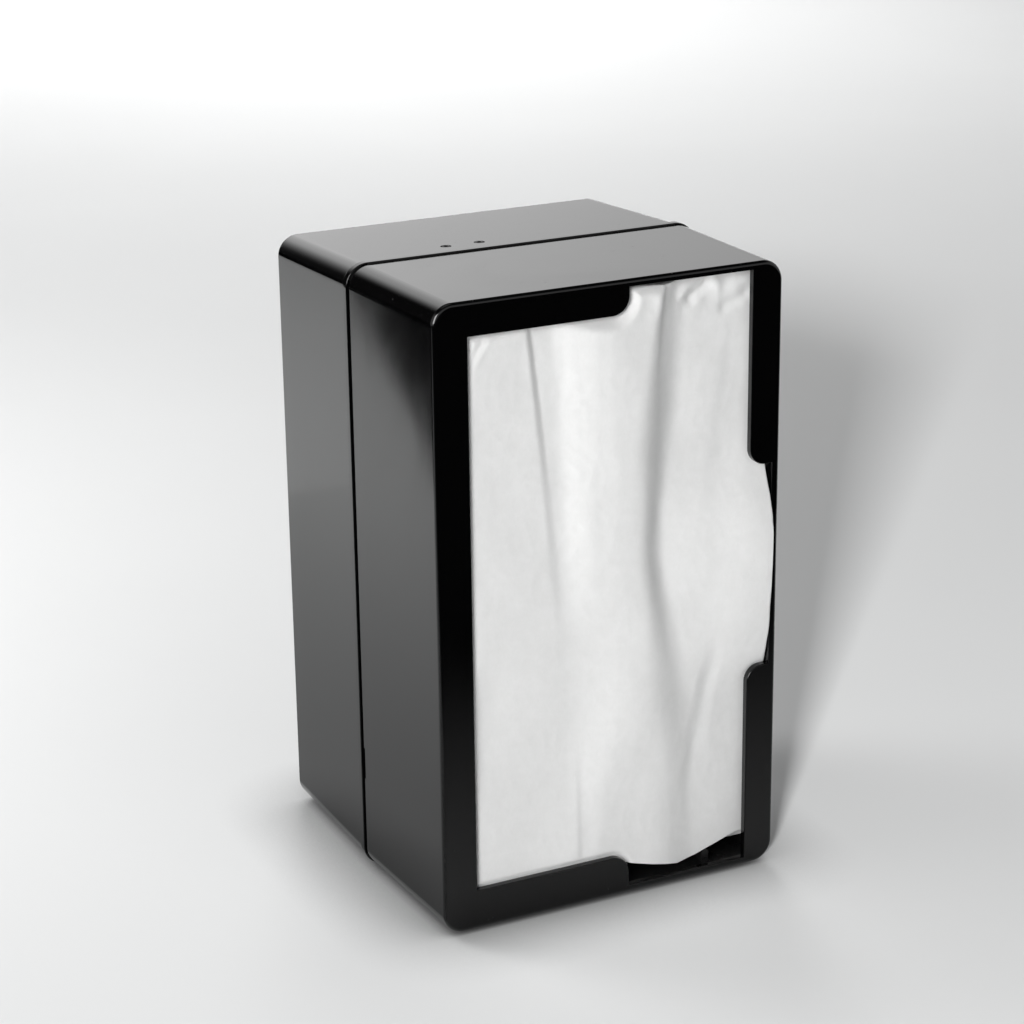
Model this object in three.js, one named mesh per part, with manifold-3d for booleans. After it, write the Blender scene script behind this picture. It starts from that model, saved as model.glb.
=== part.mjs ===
// Tabletop napkin dispenser: a moulded black casing in two drafted halves, with a sprung
// follower plate that keeps a stack of folded paper napkins against the open front face.
//
// Units are millimetres and +Z is up. The origin is on the table under the middle of the
// casing. The open face looks along -Y, and the front cover pulls off that way.

import * as THREE from 'three';
import { mergeVertices } from 'three/addons/utils/BufferGeometryUtils.js';
import Module from 'manifold-3d';

const wasm = await Module();
wasm.setup();

// ---------------------------------------------------------------- driving dimensions

const WIDTH = 115;
const HEIGHT = 190;
const DEPTH = 110;

const FRONT_Y = -DEPTH / 2;
const BACK_Y = DEPTH / 2;
const SEAM_Y = -2;

const WALL = 2;
const GAP = 0.3;
const UNDERSIDE_Z = 1.2;
const CORNER_RADIUS = 6.5;
const EDGE_ROUNDING = 1.2;
const ARC_SEGMENTS = 3;

// The rim is the widest line of the casing. Both halves taper away from it.
const RIM = { proud: 0.5, front: SEAM_Y + 0.5, back: SEAM_Y + 3 };
const SHELL_WIDTH = WIDTH - 2 * RIM.proud;
const SHELL_TOP_Z = HEIGHT - RIM.proud;
const FRONT_DRAFT = { side: 1.6, top: -0.4, endY: FRONT_Y };
const BACK_DRAFT = { side: 1.1, top: 2.6, endY: BACK_Y };
const COVER_BACK_Y = SEAM_Y - GAP;

// The lip stands forward of the rim, inside the cover, and guides it on and off.
const LIP = { length: 8, clearance: 0.35, thickness: 1.5 };

const WINDOW = {
  left: -44.7,
  right: 45.5,
  barEnd: 5.5,
  bottomBarZ: 13.5,
  topBarZ: 179.8,
  bottomNotchZ: 3.6,
  topNotchZ: 187.6,
  sideNotchX: 52.9,
  sideNotchLowZ: 66,
  sideNotchHighZ: 129,
  barRadius: 5.5,
  columnRadius: 5,
};

const RUNNER = { x: 34, width: 2.4, topZ: 6.9 };
const PRY_SLOT = { lowZ: 31, highZ: 41, depth: 1.1 };

const FOOT = { x: 43, y: 43, radius: 5, thickness: 2.2, bury: 1 };

const NAPKIN = { halfWidth: 51.6, bottomZ: 7.2, topZ: 184.8, frontThickness: 2.6 };

// The dispenser is full: the follower is as far back as its springs allow.
const FOLLOWER = {
  frontY: 30.7,
  thickness: 1.6,
  flange: 9,
  halfWidth: 51.6,
  bottomZ: 7.4,
  topZ: 184.6,
  cornerRadius: 3,
};

const SPRING = { radius: 9.5, wire: 0.6, turns: 6, stepsPerTurn: 16 };
const SPRING_HEIGHTS = [['upper', 140], ['lower', 52]];
const CUP = { radius: 13, bore: 11.4, floor: 1.5, height: 4.5 };
const BOSS = { radius: 6, height: 3.3 };
const SCREW = { headRadius: 3.2, headHeight: 2.2, shankRadius: 1.5, shankLength: 5 };

const FOLLOWER_RIVET = { shankRadius: 1.7, headRadius: 3.4, headHeight: 0.9 };

const LEAF = { centreX: -15.15, width: 18, backY: 13.4, frontY: -13, thickness: 0.5, noseLength: 4 };
const RIVET = { spacing: 10.9, y: 9.5, shankRadius: 1.3, headRadius: 2.4, headHeight: 0.5 };

// Faces that several pieces share.
const BACK_WALL_Y = BACK_Y - WALL - 0.2;
const BOSS_FACE_Y = BACK_WALL_Y - BOSS.height;
const FOLLOWER_BACK_Y = FOLLOWER.frontY + FOLLOWER.thickness;

// ---------------------------------------------------------------- materials

function material(color, roughness, metalness) {
  return new THREE.MeshStandardMaterial({ color, roughness, metalness });
}

const LOOKS = {
  casing: () => material(0x0b0b0c, 0.12, 0),
  paper: () => material(0xe9eaea, 0.9, 0),
  follower: () => material(0x2b2c2e, 0.5, 0),
  steel: () => material(0xa9abad, 0.35, 1),
  zinc: () => material(0x8f9296, 0.4, 1),
  cup: () => material(0x3a3b3d, 0.55, 0),
  rubber: () => material(0x1b1b1c, 0.85, 0),
};

// ---------------------------------------------------------------- solids and booleans

function toSolid(geometry) {
  const bare = geometry.clone();
  bare.deleteAttribute('normal');
  bare.deleteAttribute('uv');
  const merged = mergeVertices(bare, 1e-4);
  return new wasm.Manifold(new wasm.Mesh({
    numProp: 3,
    vertProperties: new Float32Array(merged.attributes.position.array),
    triVerts: new Uint32Array(merged.index.array),
  }));
}

function toGeometry(solid) {
  const mesh = solid.getMesh();
  const geometry = new THREE.BufferGeometry();
  geometry.setAttribute('position', new THREE.BufferAttribute(mesh.vertProperties, 3));
  geometry.setIndex(new THREE.BufferAttribute(mesh.triVerts, 1));
  geometry.computeVertexNormals();
  return geometry;
}

function join(...solids) {
  return solids.reduce((whole, solid) => whole.add(solid));
}

function cut(body, ...tools) {
  return tools.reduce((rest, tool) => rest.subtract(tool), body);
}

// ---------------------------------------------------------------- outlines and basic shapes

function roundedRectangle(left, right, low, high, radius) {
  const shape = new THREE.Shape();
  shape.absarc(right - radius, high - radius, radius, 0, Math.PI / 2);
  shape.absarc(left + radius, high - radius, radius, Math.PI / 2, Math.PI);
  shape.absarc(left + radius, low + radius, radius, Math.PI, 1.5 * Math.PI);
  shape.absarc(right - radius, low + radius, radius, 1.5 * Math.PI, 2 * Math.PI);
  return shape;
}

// Extrudes an outline drawn in X and Z from frontY to backY, with both end edges rounded.
function alongY(shape, frontY, backY, rounding = 0) {
  const geometry = new THREE.ExtrudeGeometry(shape, {
    depth: backY - frontY - 2 * rounding,
    curveSegments: ARC_SEGMENTS,
    bevelEnabled: rounding > 0,
    bevelThickness: rounding,
    bevelSize: rounding,
    bevelOffset: -rounding,
    bevelSegments: 3,
  });
  geometry.rotateX(Math.PI / 2);
  geometry.translate(0, backY - rounding, 0);
  return geometry;
}

function box(left, right, frontY, backY, low, high) {
  const geometry = new THREE.BoxGeometry(right - left, backY - frontY, high - low);
  geometry.translate((left + right) / 2, (frontY + backY) / 2, (low + high) / 2);
  return toSolid(geometry);
}

function cylinderY(radius, x, z, frontY, backY, segments = 24) {
  const geometry = new THREE.CylinderGeometry(radius, radius, backY - frontY, segments);
  geometry.translate(x, (frontY + backY) / 2, z);
  return toSolid(geometry);
}

function cylinderZ(radius, x, y, low, high, segments = 24) {
  const geometry = new THREE.CylinderGeometry(radius, radius, high - low, segments);
  geometry.rotateX(Math.PI / 2);
  geometry.translate(x, y, (low + high) / 2);
  return toSolid(geometry);
}

// Narrows a block and lowers its roof in step with the distance from the seam.
function drafted(geometry, draft) {
  const points = geometry.attributes.position;
  for (let i = 0; i < points.count; i += 1) {
    const share = (points.getY(i) - SEAM_Y) / (draft.endY - SEAM_Y);
    const fromFloor = points.getZ(i) - UNDERSIDE_Z;
    points.setX(i, points.getX(i) * (1 - (2 * draft.side * share) / SHELL_WIDTH));
    points.setZ(i, UNDERSIDE_Z + fromFloor * (1 - (draft.top * share) / (SHELL_TOP_Z - UNDERSIDE_Z)));
  }
  return geometry;
}

// A drafted block with the casing's cross-section, moved inwards by inset.
function casingBlock(draft, inset, frontY, backY, rounding = 0) {
  const half = SHELL_WIDTH / 2 - inset;
  const radius = Math.max(CORNER_RADIUS - inset, 1);
  const outline = roundedRectangle(-half, half, UNDERSIDE_Z + inset, SHELL_TOP_Z - inset, radius);
  return toSolid(drafted(alongY(outline, frontY, backY, rounding), draft));
}

// ---------------------------------------------------------------- front cover

// The window has a notch at its right side for a thumb and one at each end for the fingers.
function windowOutline() {
  const w = WINDOW;
  const bar = w.barRadius;
  const column = w.columnRadius;
  const shape = new THREE.Shape();
  shape.moveTo(w.left, w.bottomBarZ);
  shape.lineTo(w.barEnd - bar, w.bottomBarZ);
  shape.absarc(w.barEnd - bar, w.bottomBarZ - bar, bar, Math.PI / 2, 0, true);
  shape.lineTo(w.barEnd, w.bottomNotchZ);
  shape.lineTo(w.right, w.bottomNotchZ);
  shape.absarc(w.right + column, w.sideNotchLowZ - column, column, Math.PI, Math.PI / 2, true);
  shape.lineTo(w.sideNotchX, w.sideNotchLowZ);
  shape.lineTo(w.sideNotchX, w.sideNotchHighZ);
  shape.absarc(w.right + column, w.sideNotchHighZ + column, column, 1.5 * Math.PI, Math.PI, true);
  shape.lineTo(w.right, w.topNotchZ);
  shape.lineTo(w.barEnd, w.topNotchZ);
  shape.absarc(w.barEnd - bar, w.topBarZ + bar, bar, 0, 1.5 * Math.PI, true);
  shape.lineTo(w.left, w.topBarZ);
  return shape;
}

function footRecess(side, y) {
  const topZ = UNDERSIDE_Z + FOOT.bury + GAP;
  return cylinderZ(FOOT.radius + GAP, side * FOOT.x, y, UNDERSIDE_Z - 1, topZ);
}

// Two ribs that carry the napkins. lowZ lies inside the wall that they grow from.
function runners(frontY, backY, lowZ) {
  const half = RUNNER.width / 2;
  const ribs = [-RUNNER.x, RUNNER.x].map((x) => (
    box(x - half, x + half, frontY, backY, lowZ, RUNNER.topZ)
  ));
  return join(...ribs);
}

function frontCover() {
  const outside = casingBlock(FRONT_DRAFT, 0, FRONT_Y, COVER_BACK_Y, EDGE_ROUNDING);
  const inside = casingBlock(FRONT_DRAFT, WALL, FRONT_Y + WALL, SEAM_Y + LIP.length);
  const window = toSolid(alongY(windowOutline(), FRONT_Y - 5, FRONT_Y + WALL + 0.5));
  const outerX = -SHELL_WIDTH / 2;
  const prySlot = box(
    outerX - 1, outerX + WALL + 1,
    COVER_BACK_Y - PRY_SLOT.depth, COVER_BACK_Y + 1,
    PRY_SLOT.lowZ, PRY_SLOT.highZ,
  );
  const shell = cut(outside, inside, window, prySlot, footRecess(-1, -FOOT.y), footRecess(1, -FOOT.y));
  const ribs = runners(FRONT_Y + WALL + 2, SEAM_Y - LIP.length - 1, UNDERSIDE_Z + WALL / 2);
  return join(shell, ribs);
}

// ---------------------------------------------------------------- rear shell

function rivetX(side) {
  return LEAF.centreX + (side * RIVET.spacing) / 2;
}

function rimBlock() {
  const half = WIDTH / 2;
  const outline = roundedRectangle(
    -half, half, UNDERSIDE_Z - RIM.proud, HEIGHT, CORNER_RADIUS + RIM.proud,
  );
  return toSolid(alongY(outline, RIM.front, RIM.back, RIM.proud / 2));
}

function rearShell() {
  const lipInset = WALL + LIP.clearance;
  const body = casingBlock(BACK_DRAFT, 0, RIM.front + RIM.proud / 2, BACK_Y, EDGE_ROUNDING);
  const lip = casingBlock(FRONT_DRAFT, lipInset, SEAM_Y - LIP.length, RIM.back);
  const cavity = casingBlock(BACK_DRAFT, WALL, RIM.back, BACK_WALL_Y);
  const mouth = casingBlock(FRONT_DRAFT, lipInset + LIP.thickness, SEAM_Y - LIP.length - 2, RIM.back + 1);
  const bosses = SPRING_HEIGHTS.map(([, z]) => (
    cylinderY(BOSS.radius, 0, z, BOSS_FACE_Y, BACK_WALL_Y + 0.5)
  ));
  const pilots = SPRING_HEIGHTS.map(([, z]) => (
    cylinderY(SCREW.shankRadius + GAP, 0, z, BOSS_FACE_Y - 1, BACK_WALL_Y + 0.4, 16)
  ));
  const leafHalf = LEAF.width / 2 + 1.2;
  const leafSlot = box(
    LEAF.centreX - leafHalf, LEAF.centreX + leafHalf,
    SEAM_Y - LIP.length - 1, RIM.back + 1,
    SHELL_TOP_Z - LIP.thickness - lipInset - 1, SHELL_TOP_Z - WALL,
  );
  const rivetHoles = [-1, 1].map((side) => (
    cylinderZ(RIVET.shankRadius + GAP, rivetX(side), RIVET.y, HEIGHT - 6, HEIGHT + 2, 16)
  ));
  const hollow = cut(join(rimBlock(), body, lip), cavity, mouth, leafSlot, ...rivetHoles);
  const recesses = [footRecess(-1, FOOT.y), footRecess(1, FOOT.y)];
  const ribsOnLip = runners(SEAM_Y - LIP.length + 0.5, RIM.back, UNDERSIDE_Z + lipInset + 0.5);
  const ribsOnFloor = runners(RIM.back - 1, BACK_Y - WALL, UNDERSIDE_Z + WALL / 2);
  return cut(join(hollow, ribsOnLip, ribsOnFloor, ...bosses), ...pilots, ...recesses);
}

// ---------------------------------------------------------------- catch leaf and rivets

const ROOF_UNDER_Z = SHELL_TOP_Z - WALL - BACK_DRAFT.top * ((RIVET.y - SEAM_Y) / (BACK_Y - SEAM_Y));
const LEAF_TOP_Z = ROOF_UNDER_Z - 0.5;
const LEAF_BOTTOM_Z = LEAF_TOP_Z - LEAF.thickness;

// A flat spring strip whose front end is folded up into a nose that bears on the cover's roof.
function catchLeaf() {
  const noseTopZ = SHELL_TOP_Z - WALL - GAP;
  const profile = new THREE.Shape([
    new THREE.Vector2(LEAF.backY, LEAF_BOTTOM_Z),
    new THREE.Vector2(LEAF.backY, LEAF_TOP_Z),
    new THREE.Vector2(LEAF.frontY + LEAF.noseLength, LEAF_TOP_Z),
    new THREE.Vector2(LEAF.frontY + LEAF.noseLength / 2, noseTopZ),
    new THREE.Vector2(LEAF.frontY, LEAF_TOP_Z),
    new THREE.Vector2(LEAF.frontY, LEAF_BOTTOM_Z),
    new THREE.Vector2(LEAF.frontY + LEAF.noseLength / 2, noseTopZ - LEAF.thickness),
    new THREE.Vector2(LEAF.frontY + LEAF.noseLength, LEAF_BOTTOM_Z),
  ]);
  const geometry = new THREE.ExtrudeGeometry(profile, { depth: LEAF.width, bevelEnabled: false });
  geometry.rotateX(Math.PI / 2);
  geometry.rotateZ(Math.PI / 2);
  geometry.translate(LEAF.centreX - LEAF.width / 2, 0, 0);
  const holes = [-1, 1].map((side) => (
    cylinderZ(RIVET.shankRadius + GAP, rivetX(side), RIVET.y, LEAF_BOTTOM_Z - 1, LEAF_TOP_Z + 1, 16)
  ));
  return cut(toSolid(geometry), ...holes);
}

function catchRivet(side) {
  const x = rivetX(side);
  const headTopZ = LEAF_BOTTOM_Z - GAP;
  const shank = cylinderZ(RIVET.shankRadius, x, RIVET.y, headTopZ - 0.1, SHELL_TOP_Z - 0.5, 16);
  const head = cylinderZ(RIVET.headRadius, x, RIVET.y, headTopZ - RIVET.headHeight, headTopZ, 20);
  return join(shank, head);
}

// ---------------------------------------------------------------- follower and springs

function followerPlate() {
  const f = FOLLOWER;
  const edge = (inset) => roundedRectangle(
    -f.halfWidth + inset, f.halfWidth - inset, f.bottomZ + inset, f.topZ - inset,
    Math.max(f.cornerRadius - inset, 0.8),
  );
  const tray = toSolid(alongY(edge(0), f.frontY, f.frontY + f.flange));
  const hollow = toSolid(alongY(edge(f.thickness), FOLLOWER_BACK_Y, f.frontY + f.flange + 1));
  const holes = SPRING_HEIGHTS.map(([, z]) => (
    cylinderY(FOLLOWER_RIVET.shankRadius + GAP, 0, z, f.frontY - 1, FOLLOWER_BACK_Y + 1, 16)
  ));
  return cut(tray, hollow, ...holes);
}

// A turned cup with its floor at floorY. Its mouth opens the way that direction points.
function springCup(z, floorY, direction, holeRadius) {
  const profile = [
    new THREE.Vector2(holeRadius, 0),
    new THREE.Vector2(CUP.radius, 0),
    new THREE.Vector2(CUP.radius, CUP.height),
    new THREE.Vector2(CUP.bore + 0.6, CUP.height),
    new THREE.Vector2(CUP.bore, CUP.height - 0.6),
    new THREE.Vector2(CUP.bore, CUP.floor),
    new THREE.Vector2(holeRadius, CUP.floor),
    new THREE.Vector2(holeRadius, 0),
  ];
  const geometry = new THREE.LatheGeometry(profile, 28);
  if (direction < 0) {
    geometry.rotateX(Math.PI);
  }
  geometry.translate(0, floorY, z);
  return toSolid(geometry);
}

function followerCup(z) {
  return springCup(z, FOLLOWER_BACK_Y + GAP, 1, FOLLOWER_RIVET.shankRadius + GAP);
}

function followerRivet(z) {
  const headFrontY = FOLLOWER_BACK_Y + GAP + CUP.floor + GAP;
  const headBackY = headFrontY + FOLLOWER_RIVET.headHeight;
  const head = cylinderY(FOLLOWER_RIVET.headRadius, 0, z, headFrontY, headBackY, 20);
  const shank = cylinderY(FOLLOWER_RIVET.shankRadius, 0, z, FOLLOWER.frontY + 0.2, headBackY - 0.2, 16);
  return join(head, shank);
}

function springSeat(z) {
  return springCup(z, BOSS_FACE_Y - GAP, -1, SCREW.shankRadius + GAP);
}

function seatScrew(z) {
  const headBackY = BOSS_FACE_Y - GAP - CUP.floor - GAP;
  const head = cylinderY(SCREW.headRadius, 0, z, headBackY - SCREW.headHeight, headBackY, 20);
  const shank = cylinderY(SCREW.shankRadius, 0, z, headBackY - 0.5, headBackY + SCREW.shankLength, 12);
  const slot = box(-SCREW.headRadius, SCREW.headRadius, headBackY - SCREW.headHeight - 1,
    headBackY - SCREW.headHeight + 0.9, z - 0.4, z + 0.4);
  return cut(join(head, shank), slot);
}

class Helix extends THREE.Curve {
  constructor(radius, turns, z, startY, endY) {
    super();
    Object.assign(this, { radius, turns, z, startY, endY });
  }

  getPoint(t, target = new THREE.Vector3()) {
    const angle = 2 * Math.PI * this.turns * t;
    return target.set(
      this.radius * Math.cos(angle),
      this.startY + (this.endY - this.startY) * t,
      this.z + this.radius * Math.sin(angle),
    );
  }
}

function coilSpring(z) {
  const startY = FOLLOWER_BACK_Y + GAP + CUP.floor + GAP + SPRING.wire;
  const endY = BOSS_FACE_Y - GAP - CUP.floor - GAP - SPRING.wire;
  const wire = new THREE.Shape();
  wire.absarc(0, 0, SPRING.wire, 0, 2 * Math.PI);
  return toSolid(new THREE.ExtrudeGeometry(wire, {
    curveSegments: ARC_SEGMENTS,
    steps: SPRING.turns * SPRING.stepsPerTurn,
    extrudePath: new Helix(SPRING.radius, SPRING.turns, z, startY, endY),
  }));
}

// ---------------------------------------------------------------- feet and napkins

function foot(side, y) {
  const low = UNDERSIDE_Z + FOOT.bury - FOOT.thickness;
  return cylinderZ(FOOT.radius, side * FOOT.x, y, low, low + FOOT.thickness);
}

const NAPKIN_FRONT_Y = FRONT_Y + WALL + GAP + 0.1;
const STACK_FRONT_Y = NAPKIN_FRONT_Y + NAPKIN.frontThickness + GAP;

function frontNapkin() {
  const outline = roundedRectangle(-NAPKIN.halfWidth, NAPKIN.halfWidth, NAPKIN.bottomZ, NAPKIN.topZ, 1);
  return toSolid(alongY(outline, NAPKIN_FRONT_Y, NAPKIN_FRONT_Y + NAPKIN.frontThickness));
}

function napkinStack() {
  const inset = 0.4;
  const outline = roundedRectangle(
    -NAPKIN.halfWidth + inset, NAPKIN.halfWidth - inset, NAPKIN.bottomZ, NAPKIN.topZ - inset, 1,
  );
  return toSolid(alongY(outline, STACK_FRONT_Y, FOLLOWER.frontY - GAP));
}

// ---------------------------------------------------------------- assembly

function node(name, solid, look) {
  const mesh = new THREE.Mesh(toGeometry(solid), look());
  mesh.name = name;
  return mesh;
}

const dispenser = new THREE.Group();
dispenser.add(node('rear_shell', rearShell(), LOOKS.casing));
dispenser.add(node('front_cover', frontCover(), LOOKS.casing));
dispenser.add(node('catch_leaf', catchLeaf(), LOOKS.steel));
dispenser.add(node('catch_rivet_left', catchRivet(-1), LOOKS.zinc));
dispenser.add(node('catch_rivet_right', catchRivet(1), LOOKS.zinc));
dispenser.add(node('follower_plate', followerPlate(), LOOKS.follower));
for (const [spot, z] of SPRING_HEIGHTS) {
  dispenser.add(node(`follower_cup_${spot}`, followerCup(z), LOOKS.cup));
  dispenser.add(node(`follower_rivet_${spot}`, followerRivet(z), LOOKS.zinc));
  dispenser.add(node(`spring_${spot}`, coilSpring(z), LOOKS.steel));
  dispenser.add(node(`spring_seat_${spot}`, springSeat(z), LOOKS.cup));
  dispenser.add(node(`seat_screw_${spot}`, seatScrew(z), LOOKS.zinc));
}
for (const [end, y] of [['front', -FOOT.y], ['rear', FOOT.y]]) {
  dispenser.add(node(`foot_${end}_left`, foot(-1, y), LOOKS.rubber));
  dispenser.add(node(`foot_${end}_right`, foot(1, y), LOOKS.rubber));
}
dispenser.add(node('napkin_stack', napkinStack(), LOOKS.paper));
dispenser.add(node('front_napkin', frontNapkin(), LOOKS.paper));

export default dispenser;
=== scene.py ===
import math
import random

import bmesh
import bpy
import numpy as np
from mathutils import Matrix, Vector, noise

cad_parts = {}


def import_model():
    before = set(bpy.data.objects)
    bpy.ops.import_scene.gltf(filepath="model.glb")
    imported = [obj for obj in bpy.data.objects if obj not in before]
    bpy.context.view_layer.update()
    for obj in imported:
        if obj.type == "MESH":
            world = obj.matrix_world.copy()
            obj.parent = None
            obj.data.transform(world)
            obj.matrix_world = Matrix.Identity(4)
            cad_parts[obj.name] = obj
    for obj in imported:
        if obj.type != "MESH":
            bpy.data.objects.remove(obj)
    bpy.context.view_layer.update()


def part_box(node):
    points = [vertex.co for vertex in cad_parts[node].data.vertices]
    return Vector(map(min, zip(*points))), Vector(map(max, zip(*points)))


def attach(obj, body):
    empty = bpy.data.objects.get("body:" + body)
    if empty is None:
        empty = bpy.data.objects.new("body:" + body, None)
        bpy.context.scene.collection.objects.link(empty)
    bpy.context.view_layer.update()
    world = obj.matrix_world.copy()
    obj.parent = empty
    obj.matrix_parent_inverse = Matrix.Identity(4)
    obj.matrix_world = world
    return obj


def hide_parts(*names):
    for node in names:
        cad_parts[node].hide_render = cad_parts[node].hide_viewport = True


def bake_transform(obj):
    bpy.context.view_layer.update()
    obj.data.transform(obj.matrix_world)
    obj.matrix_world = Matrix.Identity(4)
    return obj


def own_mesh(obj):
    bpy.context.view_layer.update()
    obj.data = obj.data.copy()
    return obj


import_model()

MM = 0.001
SCENE = bpy.context.scene

# ---------------------------------------------------------------- dimensions, in millimetres

SEAM_Y, FRONT_Y, BACK_Y = -2.0, -55.0, 55.0
UNDERSIDE_Z, SHELL_TOP_Z, MIDDLE_Z = 1.2, 189.5, 95.0
SHELL_HALF = 57.0
CORNER = 6.5
WALL = 2.0
EDGE, SEAM_EDGE = 1.2, 0.5
COVER_BACK_Y = -2.3
COVER_RINGS_Y, SHELL_RINGS_Y = (-14.0, -27.0, -40.0), (14.0, 27.0, 40.0)
FRONT_DRAFT = {"side": 1.6, "top": -0.4, "end": FRONT_Y}
BACK_DRAFT = {"side": 1.1, "top": 2.6, "end": BACK_Y}
RIM = {"half": 57.5, "low": 0.7, "high": 190.0, "radius": 7.0, "front": -1.5, "back": 1.0, "round": 0.25}
LIP_FRONT_Y = -10.0
LIP_OUTER, LIP_INNER, LIP_EDGE = 2.35, 3.85, 0.4
BACK_WALL_Y = 52.8
CORNER_STEPS = 20
WELL_INSIDE, INNER_SKIN = (52.8, 5.0, 185.4), (55.6, 3.0, 188.2)
PRY_SLOT = {"floor_x": -52.5, "low": 31.0, "high": 41.0, "depth": 1.1}

WINDOW = {
    "left": -44.7, "right": 45.5, "bar_end": 5.5, "bottom_bar": 13.5, "top_bar": 179.8,
    "bottom_notch": 3.6, "top_notch": 187.6, "side_notch": 52.9, "side_low": 66.0, "side_high": 129.0,
    "bar_radius": 5.5, "column_radius": 5.0,
}
RUNNER_X, RUNNER_HALF, RUNNER_TOP = 34.0, 1.2, 6.9
FOOT_X, FOOT_Y, FOOT_RADIUS = 43.0, 43.0, 5.0
SPRING_Z = {"upper": 140.0, "lower": 52.0}
BOSS_RADIUS, BOSS_HEIGHT, SCREW_HOLE, CUP_HOLE = 6.0, 3.3, 1.8, 2.0
RIVET_Y, RIVET_SPACING, RIVET_HOLE = 9.5, 10.9, 1.6
LEAF_X, LEAF_HALF, LEAF_THICKNESS, LEAF_CORNER = -15.15, 9.0, 0.5, 1.6
LEAF_SLOT = {"half": 10.2, "low": 183.65, "high": 187.5}
NAPKIN_Y, STACK_FRONT_Y = -52.0, -46.5
FOLLOWER_TRAVEL = 74.0

# ---------------------------------------------------------------- camera

CAMERA_PLACE = (-0.35314, -0.70315, 0.37563)
CAMERA_TURN = {"yaw": 26.354, "pitch": 18.915, "roll": -0.742}
SENSOR_WIDTH, LENS = 36.0, 96.343


def aim_camera():
    yaw, pitch, roll = (math.radians(a) for a in CAMERA_TURN.values())
    forward = Vector((math.sin(yaw) * math.cos(pitch), math.cos(yaw) * math.cos(pitch), -math.sin(pitch)))
    right = Vector((math.cos(yaw), -math.sin(yaw), 0))
    down = forward.cross(right)
    across = right * math.cos(roll) - down * math.sin(roll)
    below = right * math.sin(roll) + down * math.cos(roll)
    data = bpy.data.cameras.new("camera")
    data.sensor_width = SENSOR_WIDTH
    data.lens = LENS
    data.clip_start = 0.01
    data.clip_end = 60.0
    camera = bpy.data.objects.new("camera", data)
    turn = Matrix((across, -below, -forward)).transposed()
    camera.matrix_world = Matrix.Translation(CAMERA_PLACE) @ turn.to_4x4()
    SCENE.collection.objects.link(camera)
    SCENE.camera = camera


aim_camera()

# ---------------------------------------------------------------- node materials


class Nodes:
    """A node tree, with short calls that add nodes to it."""

    def __init__(self, tree):
        self.tree = tree

    def node(self, kind, inputs=None, **attributes):
        new = self.tree.nodes.new(kind)
        for key, value in attributes.items():
            setattr(new, key, value)
        for key, value in (inputs or {}).items():
            self.feed(value, new.inputs[key])
        return new

    def feed(self, value, socket):
        if isinstance(value, bpy.types.NodeSocket):
            self.tree.links.new(value, socket)
        else:
            socket.default_value = value

    def place(self, scale=(1, 1, 1)):
        spot = self.node("ShaderNodeTexCoord").outputs["Object"]
        return self.node("ShaderNodeMapping", {"Vector": spot, "Scale": scale}).outputs[0]

    def split(self, vector):
        return self.node("ShaderNodeSeparateXYZ", {0: vector}).outputs

    def noise(self, scale, detail=2.0, rough=0.5, stretch=(1, 1, 1), distort=0.0):
        inputs = {"Vector": self.place(stretch), "Scale": scale, "Detail": detail,
                  "Roughness": rough, "Distortion": distort}
        return self.node("ShaderNodeTexNoise", inputs).outputs["Fac"]

    def cells(self, scale):
        return self.node("ShaderNodeTexVoronoi", {"Vector": self.place(), "Scale": scale}).outputs["Distance"]

    def spread(self, value, low, high, out_low=0.0, out_high=1.0, smooth=False):
        inputs = {"Value": value, "From Min": low, "From Max": high, "To Min": out_low, "To Max": out_high}
        kind = "SMOOTHSTEP" if smooth else "LINEAR"
        return self.node("ShaderNodeMapRange", inputs, interpolation_type=kind).outputs[0]

    def math(self, operation, a, b):
        return self.node("ShaderNodeMath", {0: a, 1: b}, operation=operation).outputs[0]

    def blend(self, share, a, b):
        mix = self.node("ShaderNodeMix", data_type="RGBA")
        for key, value in (("Factor", share), ("A", a), ("B", b)):
            socket = next(s for s in mix.inputs if s.name == key and (key == "Factor" or s.type == "RGBA"))
            self.feed(value, socket)
        return next(s for s in mix.outputs if s.type == "RGBA")

    def bump(self, height, depth_mm, below=None):
        inputs = {"Height": height, "Distance": depth_mm * MM, "Strength": 1.0}
        if below is not None:
            inputs["Normal"] = below
        return self.node("ShaderNodeBump", inputs).outputs[0]

    def emission(self, colour, strength):
        return self.node("ShaderNodeEmission", {"Color": colour, "Strength": strength}).outputs[0]

    def mix(self, share, a, b):
        return self.node("ShaderNodeMixShader", {0: share, 1: a, 2: b}).outputs[0]


class Shader(Nodes):
    """A material. values are set on its surface's own sockets, with _ for each space in their names."""

    def __init__(self, name, **values):
        self.material = bpy.data.materials.new(name)
        self.material.use_nodes = True
        super().__init__(self.material.node_tree)
        self.surface = self.tree.nodes["Principled BSDF"]
        self.output = self.tree.nodes["Material Output"].inputs["Surface"]
        for socket, value in values.items():
            self.surface.inputs[socket.replace("_", " ")].default_value = value

    def use(self, **links):
        for socket, value in links.items():
            self.tree.links.new(value, self.surface.inputs[socket.replace("_", " ")])
        return self.material


def grey(value, blue=0.0):
    return (value, value, value * (1 + blue), 1.0)


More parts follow.
